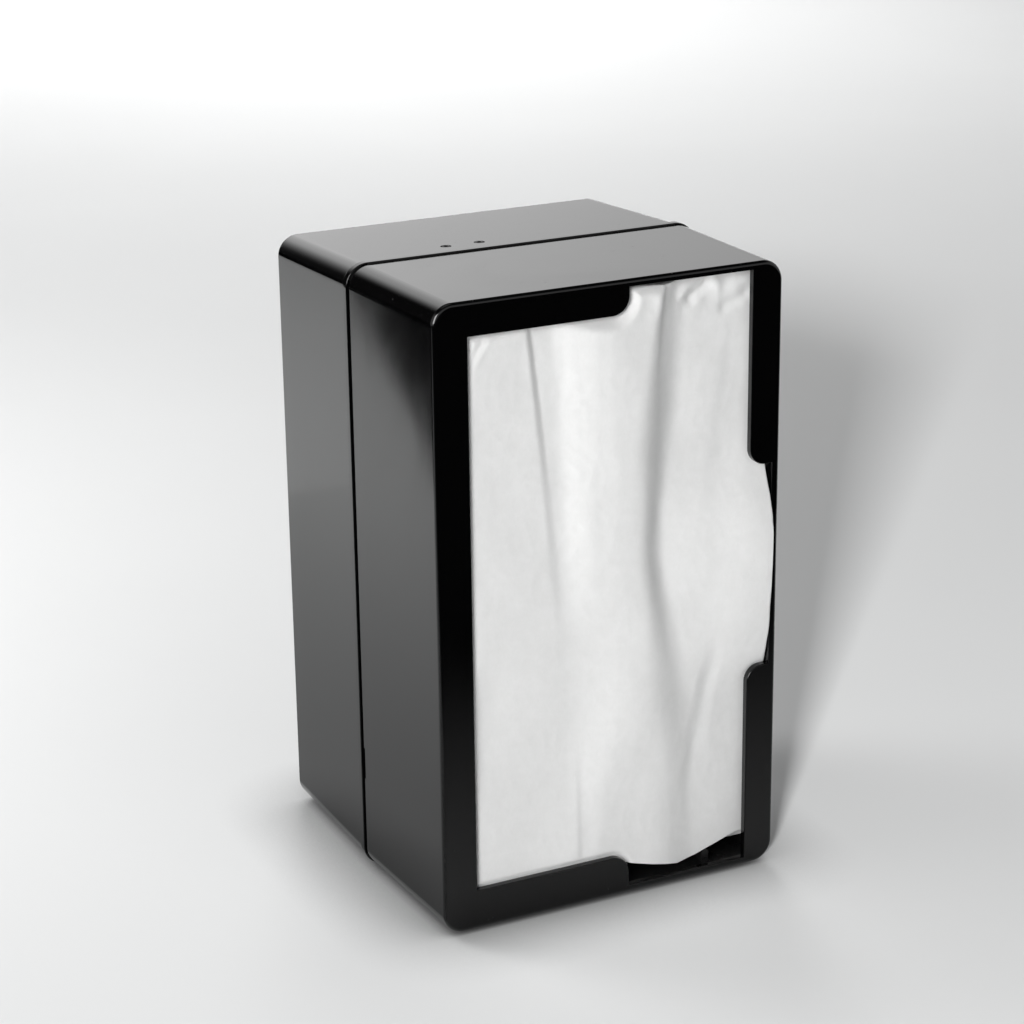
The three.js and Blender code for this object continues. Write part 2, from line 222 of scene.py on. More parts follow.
def gloss_plastic():
    """A black moulding with a cloudy, faintly streaked polish, and dust where it faces up."""
    s = Shader("gloss_black", IOR=1.5)
    sag = s.bump(s.noise(9.0, 1.0, 0.4), 0.12)
    peel = s.bump(s.noise(420.0, 2.0, 0.55), 0.0012, sag)
    clouds = s.spread(s.noise(26.0, 4.0, 0.6, (1, 1, 0.35), 0.6), 0.42, 0.72, 0.075, 0.125, True)
    streaks = s.spread(s.noise(300.0, 3.0, 0.7, (1.0, 6.0, 0.12)), 0.66, 0.80, 0.0, 0.10, True)
    upward = s.split(s.node("ShaderNodeNewGeometry").outputs["Normal"])[2]
    speck = s.spread(s.cells(420.0), 0.05, 0.11, 1.0, 0.0, True)
    patch = s.spread(s.noise(60.0, 2.0), 0.56, 0.66, 0.0, 1.0, True)
    flat = s.spread(upward, 0.2, 0.9, 0.12, 1.0)
    dust = s.math("MULTIPLY", s.math("MULTIPLY", speck, patch), flat)
    colour = s.blend(dust, grey(0.0012, 0.1), grey(0.16))
    rough = s.math("ADD", s.math("ADD", clouds, streaks), s.math("MULTIPLY", dust, 0.4))
    return s.use(Base_Color=colour, Roughness=rough, Normal=peel)


def satin_plastic(name, colour, rough, grain_scale, grain_mm):
    s = Shader(name, IOR=1.47)
    grain = s.bump(s.noise(grain_scale, 3.0, 0.6), grain_mm)
    tone = s.spread(s.noise(45.0, 3.0), 0.3, 0.7)
    shade = s.blend(tone, grey(colour * 0.8), grey(colour * 1.2, 0.04))
    rub = s.spread(s.noise(90.0, 4.0, 0.6), 0.35, 0.75, rough - 0.08, rough + 0.10)
    return s.use(Base_Color=shade, Roughness=rub, Normal=grain)


def drawn_steel(name, colour, rough, stretch):
    s = Shader(name, Metallic=1.0)
    draw = s.noise(900.0, 3.0, 0.65, stretch)
    tone = s.spread(s.noise(120.0, 3.0), 0.3, 0.7)
    shade = s.blend(tone, grey(colour * 0.85), grey(colour, -0.03))
    return s.use(Base_Color=shade, Roughness=s.spread(draw, 0.3, 0.7, rough - 0.1, rough + 0.12),
                 Normal=s.bump(draw, 0.004))


def plated(name, colour, rough):
    s = Shader(name, Metallic=1.0)
    mottle = s.noise(260.0, 4.0, 0.6)
    shade = s.blend(s.spread(mottle, 0.35, 0.7), grey(colour * 0.8, 0.06), grey(colour))
    return s.use(Base_Color=shade, Roughness=s.spread(mottle, 0.3, 0.7, rough - 0.08, rough + 0.12),
                 Normal=s.bump(s.noise(1400.0, 2.0), 0.004))


def rubber():
    s = Shader("rubber_black", IOR=1.52)
    bits = s.noise(1500.0, 3.0, 0.7)
    chalk = s.spread(s.noise(180.0, 4.0, 0.6), 0.45, 0.75)
    return s.use(Base_Color=s.blend(chalk, grey(0.012), grey(0.035)),
                 Roughness=s.spread(bits, 0.3, 0.7, 0.72, 0.95), Normal=s.bump(bits, 0.03))


def tissue(name):
    s = Shader(name, IOR=1.4, Specular_IOR_Level=0.25, Subsurface_Weight=0.12, Subsurface_Scale=0.0015,
               Subsurface_Radius=(1, 1, 1), Sheen_Weight=0.08, Sheen_Roughness=0.5)
    fibres = s.noise(1100.0, 5.0, 0.72, (1, 1, 0.5), 0.8)
    clouds = s.noise(160.0, 4.0, 0.6)
    crepe = s.noise(700.0, 2.0, 0.6, (0.25, 0.25, 1.0))
    soft = s.bump(clouds, 0.045)
    ribs = s.bump(crepe, 0.022, soft)
    fuzz = s.bump(fibres, 0.024, ribs)
    both = s.math("ADD", s.math("MULTIPLY", fibres, 0.5), s.math("MULTIPLY", clouds, 0.5))
    tone = s.spread(both, 0.35, 0.65)
    colour = s.blend(tone, (0.815, 0.815, 0.808, 1), (0.862, 0.862, 0.857, 1))
    return s.use(Base_Color=colour, Roughness=s.spread(fibres, 0.3, 0.7, 0.86, 1.0), Normal=fuzz)


GLOSS = gloss_plastic()
INSIDE = satin_plastic("satin_black_inside", 0.006, 0.34, 1200.0, 0.006)
FOLLOWER_LOOK = satin_plastic("satin_dark_grey", 0.028, 0.46, 900.0, 0.02)
CUP_LOOK = satin_plastic("matt_dark_grey", 0.045, 0.55, 1300.0, 0.02)
WIRE = drawn_steel("drawn_wire", 0.55, 0.30, (1, 1, 1))
STRIP = drawn_steel("spring_strip", 0.52, 0.32, (1, 0.03, 1))
ZINC = plated("zinc_plate", 0.47, 0.36)
BLACKENED = plated("blackened_rivet", 0.03, 0.42)
RUBBER = rubber()
PAPER = tissue("tissue_paper")
PAPER_EDGE = tissue("tissue_paper_edges")

# ---------------------------------------------------------------- mesh helpers


def finish_mesh(bm, name, *materials, sharp=38):
    """Turns a bmesh in metres into an object with smooth shading that breaks at sharp edges."""
    bmesh.ops.recalc_face_normals(bm, faces=bm.faces)
    mesh = bpy.data.meshes.new(name)
    bm.to_mesh(mesh)
    bm.free()
    for material in materials:
        mesh.materials.append(material)
    obj = bpy.data.objects.new(name, mesh)
    SCENE.collection.objects.link(obj)
    shade(obj, sharp)
    return obj


def shade(obj, sharp):
    obj.data.polygons.foreach_set("use_smooth", [True] * len(obj.data.polygons))
    obj.data.set_sharp_from_angle(angle=math.radians(sharp))


def weigh_normals(obj):
    modifier = obj.modifiers.new("weighted normals", "WEIGHTED_NORMAL")
    modifier.keep_sharp = True
    modifier.weight = 100


def bake_modifiers(obj):
    """Replaces the mesh with what its modifiers make of it."""
    graph = bpy.context.evaluated_depsgraph_get()
    mesh = bpy.data.meshes.new_from_object(obj.evaluated_get(graph))
    old = obj.data
    obj.modifiers.clear()
    obj.data = mesh
    bpy.data.meshes.remove(old)


def boolean(target, tools, operation="DIFFERENCE"):
    for tool in tools:
        modifier = target.modifiers.new("boolean", "BOOLEAN")
        modifier.operation = operation
        modifier.solver = "EXACT"
        modifier.object = tool
    bake_modifiers(target)
    for tool in tools:
        bpy.data.meshes.remove(tool.data)


def rounded_rectangle(left, right, low, high, radius, steps=CORNER_STEPS):
    points = []
    for x, z, start in ((right - radius, high - radius, 0), (left + radius, high - radius, 90),
                        (left + radius, low + radius, 180), (right - radius, low + radius, 270)):
        for i in range(steps + 1):
            a = math.radians(start + 90 * i / steps)
            points.append((x + radius * math.cos(a), z + radius * math.sin(a)))
    return points


def quarter_turn(steps):
    """Pairs of 1 - cos and 1 - sin over a quarter turn, for rounding an edge."""
    angles = [0.5 * math.pi * i / steps for i in range(steps + 1)]
    return [(1 - math.cos(a), 1 - math.sin(a)) for a in angles]


def ring_faces(bm, a, b, closed=True):
    count = len(a)
    for i in range(count if closed else count - 1):
        j = (i + 1) % count
        bm.faces.new((a[i], a[j], b[j], b[i]))


def loft(name, rings, *materials, sharp=38):
    """Skins a list of equal rings of (x, y, z) in millimetres, and closes both ends."""
    bm = bmesh.new()
    made = [[bm.verts.new(Vector(p) * MM) for p in ring] for ring in rings]
    for a, b in zip(made, made[1:]):
        ring_faces(bm, a, b)
    bm.faces.new(made[0])
    bm.faces.new(made[-1])
    return finish_mesh(bm, name, *materials, sharp=sharp)


def prism(outline, axis, start, end):
    """A cutting or joining tool: an outline pushed along an axis. Y takes (x, z) points, Z takes (x, y)."""
    turn = {"Y": lambda u, v, w: (u, w, v), "Z": lambda u, v, w: (u, v, w)}[axis]
    return loft("tool", [[turn(u, v, w) for u, v in outline] for w in (start, end)])


def circle(x, y, radius, steps=40):
    return [(x + radius * math.cos(2 * math.pi * i / steps), y + radius * math.sin(2 * math.pi * i / steps))
            for i in range(steps)]


def softened(profile, radius, steps=4):
    """Rounds every corner of a closed profile of (r, h) points."""
    out = []
    count = len(profile)
    for i, corner in enumerate(profile):
        here, before, after = Vector(corner), Vector(profile[i - 1]), Vector(profile[(i + 1) % count])
        reach = min(radius, 0.45 * (before - here).length, 0.45 * (after - here).length)
        a = here + (before - here).normalized() * reach
        b = here + (after - here).normalized() * reach
        for k in range(steps + 1):
            t = k / steps
            out.append(tuple(a * (1 - t) ** 2 + here * (2 * t * (1 - t)) + b * t * t))
    return out


def turned(name, profile, place, *materials, steps=56, sharp=40):
    """Revolves a closed profile of (r, h). place maps (r cos, r sin, h) to (x, y, z) in millimetres.
    Points on the axis are merged, so a profile may start and end there."""
    bm = bmesh.new()
    made = []
    for k in range(steps):
        a = 2 * math.pi * k / steps
        points = [place(r * math.cos(a), r * math.sin(a), h) for r, h in profile]
        made.append([bm.verts.new(Vector(p) * MM) for p in points])
    for k in range(steps):
        ring_faces(bm, made[k], made[(k + 1) % steps])
    bmesh.ops.remove_doubles(bm, verts=bm.verts, dist=1e-6)
    bmesh.ops.dissolve_degenerate(bm, dist=1e-7, edges=bm.edges)
    return finish_mesh(bm, name, *materials, sharp=sharp)


def settle(obj, body, node):
    """Puts a piece in its CAD node's place and its body."""
    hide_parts(node)
    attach(obj, body)


# ---------------------------------------------------------------- casing


def drafted(points, y, draft):
    share = (y - SEAM_Y) / (draft["end"] - SEAM_Y)
    across = 1 - draft["side"] * share / SHELL_HALF
    up = 1 - draft["top"] * share / (SHELL_TOP_Z - UNDERSIDE_Z)
    return [(x * across, y, UNDERSIDE_Z + (z - UNDERSIDE_Z) * up) for x, z in points]


def skin(y, inset, draft):
    """One ring of the casing's cross-section, moved inwards by inset."""
    half = SHELL_HALF - inset
    outline = rounded_rectangle(-half, half, UNDERSIDE_Z + inset, SHELL_TOP_Z - inset,
                                max(CORNER - inset, 1.0))
    return drafted(outline, y, draft)


def rounded_end(y, inward, draft, steps=6, edge=EDGE):
    """Rings over a rounded end edge, from the flat end face out to the skin. inward is +1 or -1 along Y."""
    return [skin(y + inward * edge * along_y, edge * inset, draft) for along_y, inset in quarter_turn(steps)]


def window_outline():
    w = WINDOW
    bar, column = w["bar_radius"], w["column_radius"]
    points = [(w["left"], w["bottom_bar"])]

    def arc(x, z, radius, start, end, steps=12):
        for i in range(steps + 1):
            a = math.radians(start + (end - start) * i / steps)
            points.append((x + radius * math.cos(a), z + radius * math.sin(a)))

    arc(w["bar_end"] - bar, w["bottom_bar"] - bar, bar, 90, 0)
    points.append((w["bar_end"], w["bottom_notch"]))
    points.append((w["right"], w["bottom_notch"]))
    arc(w["right"] + column, w["side_low"] - column, column, 180, 90)
    points.append((w["side_notch"], w["side_low"]))
    points.append((w["side_notch"], w["side_high"]))
    arc(w["right"] + column, w["side_high"] + column, column, 270, 180)
    points.append((w["right"], w["top_notch"]))
    points.append((w["bar_end"], w["top_notch"]))
    arc(w["bar_end"] - bar, w["top_bar"] + bar, bar, 0, -90)
    points.append((w["left"], w["top_bar"]))
    return points


def bevel_edges(obj, width_mm, steps, chosen):
    """Rounds the edges that chosen(edge) picks out of those where two faces meet at more than 50 degrees."""
    bm = bmesh.new()
    bm.from_mesh(obj.data)
    least = math.radians(50)
    edges = [e for e in bm.edges if len(e.link_faces) == 2 and e.calc_face_angle(0) > least and chosen(e)]
    bmesh.ops.bevel(bm, geom=edges, offset=width_mm * MM, segments=steps, profile=0.5, affect="EDGES",
                    clamp_overlap=False)
    bm.to_mesh(obj.data)
    bm.free()


def paint_inside(obj, is_inside):
    """Faces of the inner skins take the second material, which is less polished."""
    for face in obj.data.polygons:
        face.material_index = int(is_inside(face.center / MM, face.normal))


def faces_inward(c, n):
    """True on the casing's inner skins and on whatever stands well inside them."""
    def within(half, low, high):
        return abs(c.x) < half and low < c.z < high

    turned_in = n.x * c.x + n.z * (c.z - MIDDLE_Z) < 1.0
    return within(*WELL_INSIDE) or (turned_in and within(*INNER_SKIN))


def runner(side, front, back, low):
    x = side * RUNNER_X
    outline = rounded_rectangle(x - RUNNER_HALF, x + RUNNER_HALF, low - 2, RUNNER_TOP, 0.7, 4)
    return prism([(u, max(v, low)) for u, v in outline], "Y", front, back)


def foot_recess(side, y):
    return prism(circle(side * FOOT_X, y, FOOT_RADIUS + 0.3), "Z", UNDERSIDE_Z - 1, UNDERSIDE_Z + 1.3)


def on_spring_axes(radius, steps, start, end):
    """A round tool along Y on each spring's axis."""
    return [prism(circle(0, z, radius, steps), "Y", start, end) for z in SPRING_Z.values()]


def rivet_holes(low, high):
    return [prism(circle(LEAF_X + side * RIVET_SPACING / 2, RIVET_Y, RIVET_HOLE, 32), "Z", low, high)
            for side in (-1, 1)]


def front_cover():
    inner_face = FRONT_Y + WALL
    rings = [skin(inner_face, WALL, FRONT_DRAFT), skin(COVER_BACK_Y, WALL, FRONT_DRAFT)]
    rings += rounded_end(COVER_BACK_Y, -1, FRONT_DRAFT, edge=SEAM_EDGE)
    rings += [skin(y, 0.0, FRONT_DRAFT) for y in COVER_RINGS_Y]
    rings += reversed(rounded_end(FRONT_Y, 1, FRONT_DRAFT))
    cover = loft("cover_shell", rings, GLOSS, INSIDE)
    pry = rounded_rectangle(-60.0, PRY_SLOT["floor_x"], PRY_SLOT["low"], PRY_SLOT["high"], 0.8, 4)
    cuts = [prism(window_outline(), "Y", FRONT_Y - 5, inner_face + 0.5),
            prism(pry, "Y", COVER_BACK_Y - PRY_SLOT["depth"], COVER_BACK_Y + 1),
            foot_recess(-1, -FOOT_Y), foot_recess(1, -FOOT_Y)]
    boolean(cover, cuts)
    runners = [runner(side, inner_face + 2, LIP_FRONT_Y - 1, UNDERSIDE_Z + 1) for side in (-1, 1)]
    boolean(cover, runners, "UNION")
    bevel_edges(cover, 0.35, 3, lambda e: all(abs(v.co.y / MM - FRONT_Y) < 0.01 for v in e.verts))
    paint_inside(cover, lambda c, n: inner_face - 0.05 < c.y and faces_inward(c, n)
                 and not (c.y < inner_face + 0.02 and n.y < 0))
    shade(cover, 32)
    weigh_normals(cover)
    settle(cover, "cover", "front_cover")


def rim_ring(y, inset):
    r = RIM
    outline = rounded_rectangle(-r["half"] + inset, r["half"] - inset, r["low"] + inset, r["high"] - inset,
                                r["radius"] - inset)
    return [(x, y, z) for x, z in outline]


def rear_shell():
    front, back, rounding = RIM["front"], RIM["back"], RIM["round"]
    lip = ((LIP_EDGE, LIP_INNER), (0.1, LIP_INNER - 0.15), (0.0, LIP_INNER - LIP_EDGE),
           (0.0, LIP_OUTER + LIP_EDGE), (0.1, LIP_OUTER + 0.15), (LIP_EDGE, LIP_OUTER))
    rings = [skin(BACK_WALL_Y, WALL, BACK_DRAFT), skin(back, WALL, BACK_DRAFT),
             skin(back, LIP_INNER, FRONT_DRAFT)]
    rings += [skin(LIP_FRONT_Y + set_back, inset, FRONT_DRAFT) for set_back, inset in lip]
    rings.append(skin(front, LIP_OUTER, FRONT_DRAFT))
    rings += [rim_ring(front + rounding * a, rounding * b) for a, b in quarter_turn(4)]
    rings += [rim_ring(back - rounding * b, rounding * a) for a, b in quarter_turn(4)]
    rings += [skin(y, 0.0, BACK_DRAFT) for y in (back, *SHELL_RINGS_Y)]
    rings += reversed(rounded_end(BACK_Y, -1, BACK_DRAFT))
    shell = loft("rear_housing", rings, GLOSS, INSIDE)
    boss_face = BACK_WALL_Y - BOSS_HEIGHT
    joins = [runner(side, LIP_FRONT_Y + 0.5, back + 0.5, UNDERSIDE_Z + LIP_OUTER + 0.5) for side in (-1, 1)]
    joins += [runner(side, back, BACK_Y - WALL, UNDERSIDE_Z + 1) for side in (-1, 1)]
    joins += on_spring_axes(BOSS_RADIUS, 48, boss_face, BACK_WALL_Y + 0.5)
    boolean(shell, joins, "UNION")
    left, right = LEAF_X - LEAF_SLOT["half"], LEAF_X + LEAF_SLOT["half"]
    low, high = LEAF_SLOT["low"], LEAF_SLOT["high"]
    slot = [(left, low), (right, low), (right, high), (left, high)]
    cuts = on_spring_axes(SCREW_HOLE, 24, boss_face - 1, BACK_WALL_Y + 0.4)
    cuts += [foot_recess(-1, FOOT_Y), foot_recess(1, FOOT_Y), prism(slot, "Y", LIP_FRONT_Y - 1, back + 1)]
    cuts += rivet_holes(184, 192)
    boolean(shell, cuts)
    bevel_edges(shell, 0.22, 2, lambda e: all(v.co.z / MM > 188.3 and 7 < v.co.y / MM < 12 for v in e.verts))
    paint_inside(shell, lambda c, n: c.y < front - 0.1 or (c.y < BACK_WALL_Y + 0.1 and faces_inward(c, n)))
    shade(shell, 32)
    weigh_normals(shell)
    settle(shell, "rear", "rear_shell")


front_cover()
rear_shell()

# ---------------------------------------------------------------- catch leaf, rivets


def bent_strip(name, path, *materials):
    """A strip that follows (y, z) points, with rounded corners at both ends."""
    points = [Vector(p) for p in path]
    total = sum((b - a).length for a, b in zip(points, points[1:]))
    t, soft, corner = LEAF_THICKNESS / 2, 0.12, LEAF_CORNER
    rings, run = [], 0.0
    for i, p in enumerate(points):
        if i:
            run += (p - points[i - 1]).length
        ahead = (points[min(i + 1, len(points) - 1)] - points[max(i - 1, 0)]).normalized()
        side = Vector((-ahead.y, ahead.x))
        near = min(run, total - run)
        trim = corner - math.sqrt(max(corner ** 2 - (corner - min(near, corner)) ** 2, 0.0))
        half = LEAF_HALF - trim
        section = [(-half + soft, -t), (half - soft, -t), (half, -t + soft), (half, t - soft),
                   (half - soft, t), (-half + soft, t), (-half, t - soft), (-half, -t + soft)]
        rings.append([(LEAF_X + u, p.x + side.x * v, p.y + side.y * v) for u, v in section])
    return loft(name, rings, *materials)


def catch_leaf():
    """A flat tail under the roof, which rises at its front end into the nose."""
    low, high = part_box("catch_leaf")
    tail_z, nose_z = low.z / MM + LEAF_THICKNESS / 2, high.z / MM - 0.35
    front, back = low.y / MM, high.y / MM
    flat_steps, nose_steps, nose_length, nose_front = 14, 16, 4.6, front + 0.15
    path = [(back - (back - front - nose_length) * i / flat_steps, tail_z) for i in range(flat_steps + 1)]
    start = path[-1][0]
    for i in range(1, nose_steps + 1):
        t = i / nose_steps
        lift = 0.5 - 0.5 * math.cos(2 * math.pi * t)
        path.append((start + (nose_front - start) * t, tail_z + (nose_z - tail_z) * lift))
    path += [(back - LEAF_CORNER * (1 - math.cos(math.pi * i / 16)), tail_z) for i in range(1, 8)]
    leaf = bent_strip("catch_leaf_strip", sorted(set(path), key=lambda p: -p[0]), STRIP)
    boolean(leaf, rivet_holes(184, 189))
    shade(leaf, 35)
    settle(leaf, "catch", "catch_leaf")


def catch_rivet(side, word):
    low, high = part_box(f"catch_rivet_{word}")
    x = LEAF_X + side * RIVET_SPACING / 2
    top, bottom = high.z / MM, low.z / MM
    profile = [(0.0, top - 0.28), (0.35, top - 0.25), (0.6, top - 0.1), (0.85, top), (1.05, top - 0.02),
               (1.25, top - 0.14), (1.3, top - 0.35), (1.3, bottom + 0.52), (1.4, bottom + 0.48),
               (2.1, bottom + 0.44), (2.38, bottom + 0.3), (2.2, bottom + 0.12), (1.5, bottom + 0.02),
               (0.0, bottom)]
    rivet = turned(f"catch_rivet_{word}_turned", profile, lambda u, v, h: (x + u, RIVET_Y + v, h), BLACKENED)
    settle(rivet, "rear", f"catch_rivet_{word}")


catch_leaf()
catch_rivet(-1, "left")
catch_rivet(1, "right")

# ---------------------------------------------------------------- follower, cups, springs, seats


def follower_plate():
    """A shallow tray, open to the back, with ribs across its back."""
    low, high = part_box("follower_plate")
    half, bottom, top = high.x / MM, low.z / MM, high.z / MM
    front, back = low.y / MM, high.y / MM
    sheet, corner, edge, lip = 1.6, 3.0, 1.0, 0.4

    def ring(y, inset):
        outline = rounded_rectangle(-half + inset, half - inset, bottom + inset, top - inset,
                                    max(corner - inset, 0.8), 8)
        return [(x, y, z) for x, z in outline]

    def rib(left, right, low_z, high_z, depth):
        return prism(rounded_rectangle(left, right, low_z, high_z, 0.3, 3), "Y", front + 1, front + depth)

    rings = [ring(front + sheet, sheet + 0.5), ring(front + sheet + 0.5, sheet), ring(back - lip, sheet),
             ring(back, sheet - lip), ring(back, lip), ring(back - lip, 0.0)]
    rings += [ring(front + edge * b, edge * a) for a, b in quarter_turn(5)]
    plate = loft("follower_tray", rings, FOLLOWER_LOOK)
    ribs = [rib(x - 0.7, x + 0.7, bottom + 1, top - 1, 5.5) for x in (-36.0, -20.0, 20.0, 36.0)]
    ribs += [rib(-half + 1, half - 1, z - 0.7, z + 0.7, 5.0) for z in (24.0, 96.0, 168.0)]
    boolean(plate, ribs, "UNION")
    boolean(plate, on_spring_axes(CUP_HOLE, 24, front - 1, front + 3))
    shade(plate, 35)
    weigh_normals(plate)
    settle(plate, "follower", "follower_plate")


def cup(node, body, z, floor_y, direction, hole):
    """A cup round a spring's end. It opens along Y, in direction +1 or -1, and has a hole in its floor."""
    radius, depth, inner, floor_depth = 13.0, 4.5, 11.4, 1.5
    profile = softened([(hole, 0.0), (radius, 0.0), (radius, depth), (12.0, depth), (inner, 3.9),
                        (inner, floor_depth), (hole, floor_depth)], 0.4)
    made = turned(f"{node}_turned", profile, lambda u, v, h: (u, floor_y + direction * h, z + v), CUP_LOOK,
                  steps=64)
    settle(made, body, node)


def follower_rivet(word, z):
    low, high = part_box(f"follower_rivet_{word}")
    front, back = low.y / MM, high.y / MM
    profile = [(0.0, front), (1.5, front), (1.7, front + 0.2), (1.7, back - 0.9), (3.25, back - 0.86),
               (3.4, back - 0.7), (3.0, back - 0.35), (2.0, back - 0.08), (0.9, back), (0.5, back - 0.15),
               (0.0, back - 0.18)]
    made = turned(f"follower_rivet_{word}_turned", profile, lambda u, v, h: (u, h, z + v), ZINC, steps=40)
    settle(made, "follower", f"follower_rivet_{word}")


def seat_screw(word, z):
    """A pan-head screw whose head faces forward. Its threads are separate rings."""
    low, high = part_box(f"seat_screw_{word}")
    crest, tip = low.y / MM, high.y / MM
    shank, root, pitch = 1.5, 1.28, 0.6
    profile = [(0.0, crest), (1.4, crest + 0.06), (2.4, crest + 0.35), (3.0, crest + 0.9), (3.2, crest + 1.5),
               (3.2, crest + 2.15), (3.1, crest + 2.2), (shank, crest + 2.2)]
    y = crest + 2.4
    while y < tip - 1.0:
        profile += [(shank, y), (root, y + pitch / 2)]
        y += pitch
    profile += [(1.0, tip - 0.4), (0.0, tip)]
    made = turned(f"seat_screw_{word}_turned", profile, lambda u, v, h: (u, h, z + v), ZINC, steps=40)
    slot = rounded_rectangle(-4.0, 4.0, z - 0.4, z + 0.4, 0.1, 2)
    boolean(made, [prism(slot, "Y", crest - 1, crest + 0.9)])
    shade(made, 40)
    settle(made, "rear", f"seat_screw_{word}")


def coil_spring(word, z):
    """The coil is laid out at its longest and pushed back to its length at rest, so that it opens into
    round wire. Its end turns are closer together."""
    low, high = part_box(f"spring_{word}")
    seat, cup_floor = high.y / MM, low.y / MM
    radius, wire, turns, steps, sides = 9.5, 0.6, 6.5, 56, 10
    close_ends = 0.4
    shares = np.linspace(0, 1, 4001)
    rest = seat + (cup_floor - seat) * shares
    long = rest - FOLLOWER_TRAVEL * (shares ** 2 * (3 - 2 * shares))
    length = long[0] - long[-1] - 2 * wire
    count = int(turns * steps)

    def centre(t):
        eased = t - close_ends * math.sin(2 * math.pi * t) / (2 * math.pi)
        angle = 2 * math.pi * turns * t
        return Vector((radius * math.cos(angle), seat - wire - length * eased, z + radius * math.sin(angle)))

    rings = []
    for i in range(count + 1):
        t = i / count
        here = centre(t)
        ahead = (centre(min(t + 1e-4, 1)) - centre(max(t - 1e-4, 0))).normalized()
        out = Vector((here.x, 0, here.z - z)).normalized()
        across = ahead.cross(out).normalized()
        out = across.cross(ahead).normalized()
        ring = []
        for k in range(sides):
            a = 2 * math.pi * k / sides
            p = here + (out * math.cos(a) + across * math.sin(a)) * wire
            ring.append((p.x, float(np.interp(-p.y, -long, rest)), p.z))
        rings.append(ring)
    spring = loft(f"spring_{word}_coil", rings, WIRE, sharp=60)
    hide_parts(f"spring_{word}")
    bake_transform(spring)


follower_plate()
for word, z in SPRING_Z.items():
    cup(f"follower_cup_{word}", "follower", z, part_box(f"follower_cup_{word}")[0].y / MM, 1, CUP_HOLE)
    cup(f"spring_seat_{word}", "rear", z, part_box(f"spring_seat_{word}")[1].y / MM, -1, SCREW_HOLE)
    follower_rivet(word, z)
    seat_screw(word, z)
    coil_spring(word, z)

# ---------------------------------------------------------------- feet


def foot(end, side_word, side, y, body):
    node = f"foot_{end}_{side_word}"
    low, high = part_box(node)
    bottom, top = low.z / MM, high.z / MM
    profile = [(0.0, bottom + 0.35), (1.4, bottom + 0.35), (1.7, bottom + 0.1), (2.0, bottom), (3.9, bottom),
               (4.5, bottom + 0.12), (4.9, bottom + 0.45), (FOOT_RADIUS, bottom + 0.9),
               (FOOT_RADIUS, top - 0.2), (4.8, top), (0.0, top)]
    made = turned(f"{node}_pad", profile, lambda u, v, h: (side * FOOT_X + u, y + v, h), RUBBER, steps=48)
    settle(made, body, node)


for end, y, body in (("front", -FOOT_Y, "cover"), ("rear", FOOT_Y, "rear")):
    foot(end, "left", -1, y, body)
    foot(end, "right", 1, y, body)

# ---------------------------------------------------------------- napkins


def smooth(t):
    t = np.clip(t, 0, 1)
    return t * t * (3 - 2 * t)


def along(z, *knots):
    """A value that changes with height through (z, value) knots."""
    knots = sorted(knots)
    return np.interp(z, [k[0] for k in knots], [k[1] for k in knots])


def crease(x, z, line, depth, left, right, rest=((0, 0),)):
    """A fold: the paper falls towards its line from the left, rests, and climbs back on the right."""
    s = x - along(z, *line)
    fall = smooth((s + along(z, *left)) / along(z, *left))
    climb = smooth((s - along(z, *rest)) / along(z, *right))
    return -along(z, *depth) * np.where(s < 0, fall, 1 - climb)


def drop(x, z, line, slope, left, right):
    """A step down to the right, steepest on its line. It eases in from the left and out to the right."""
    s = x - along(z, *line)
    wide, far, steep = along(z, *left), along(z, *right), along(z, *slope)
    t, v = np.clip(1 + s / wide, 0, 1), np.clip(s / far, 0, 1)
    return -steep * (wide * (t ** 3 - t ** 4 / 2) + far * (v - v ** 3 + v ** 4 / 2))


def fold(x, z, line, height, width):
    """A narrow fold along a line: a ridge, or a groove where the height is negative."""
    best = np.full(x.shape, 1e9)
    for (x0, z0), (x1, z1) in zip(line, line[1:]):
        dx, dz = x1 - x0, z1 - z0
        t = np.clip(((x - x0) * dx + (z - z0) * dz) / (dx * dx + dz * dz), 0, 1)
        best = np.minimum(best, np.hypot(x - x0 - t * dx, z - z0 - t * dz))
    return height * np.exp(-(best / width) ** 2)


def field(x, z, scale, seed):
    """Smooth noise between about -1 and 1, at a spacing of scale millimetres."""
    out = np.empty(x.shape)
    for index in np.ndindex(x.shape):
        out[index] = noise.noise(Vector((x[index] / scale, z[index] / scale, seed)))
    return out * 1.6


def inside_window(x, z):
    """Distance in millimetres to the window's edge, positive inside the opening."""
    outline = np.array(window_outline())
    a, b = outline, np.roll(outline, -1, 0)
    points = np.stack([x.ravel(), z.ravel()], 1)
    best = np.full(len(points), 1e9)
    crossings = np.zeros(len(points), int)
    for p, q in zip(a, b):
        edge = q - p
        t = np.clip(((points - p) @ edge) / max(edge @ edge, 1e-9), 0, 1)
        best = np.minimum(best, np.linalg.norm(points - (p + t[:, None] * edge), axis=1))
        spans = (p[1] > points[:, 1]) != (q[1] > points[:, 1])
        if q[1] != p[1]:
            cross_x = p[0] + (points[:, 1] - p[1]) * edge[0] / edge[1]
            crossings += spans & (points[:, 0] < cross_x)
    return np.where(crossings % 2 == 1, best, -best).reshape(x.shape)
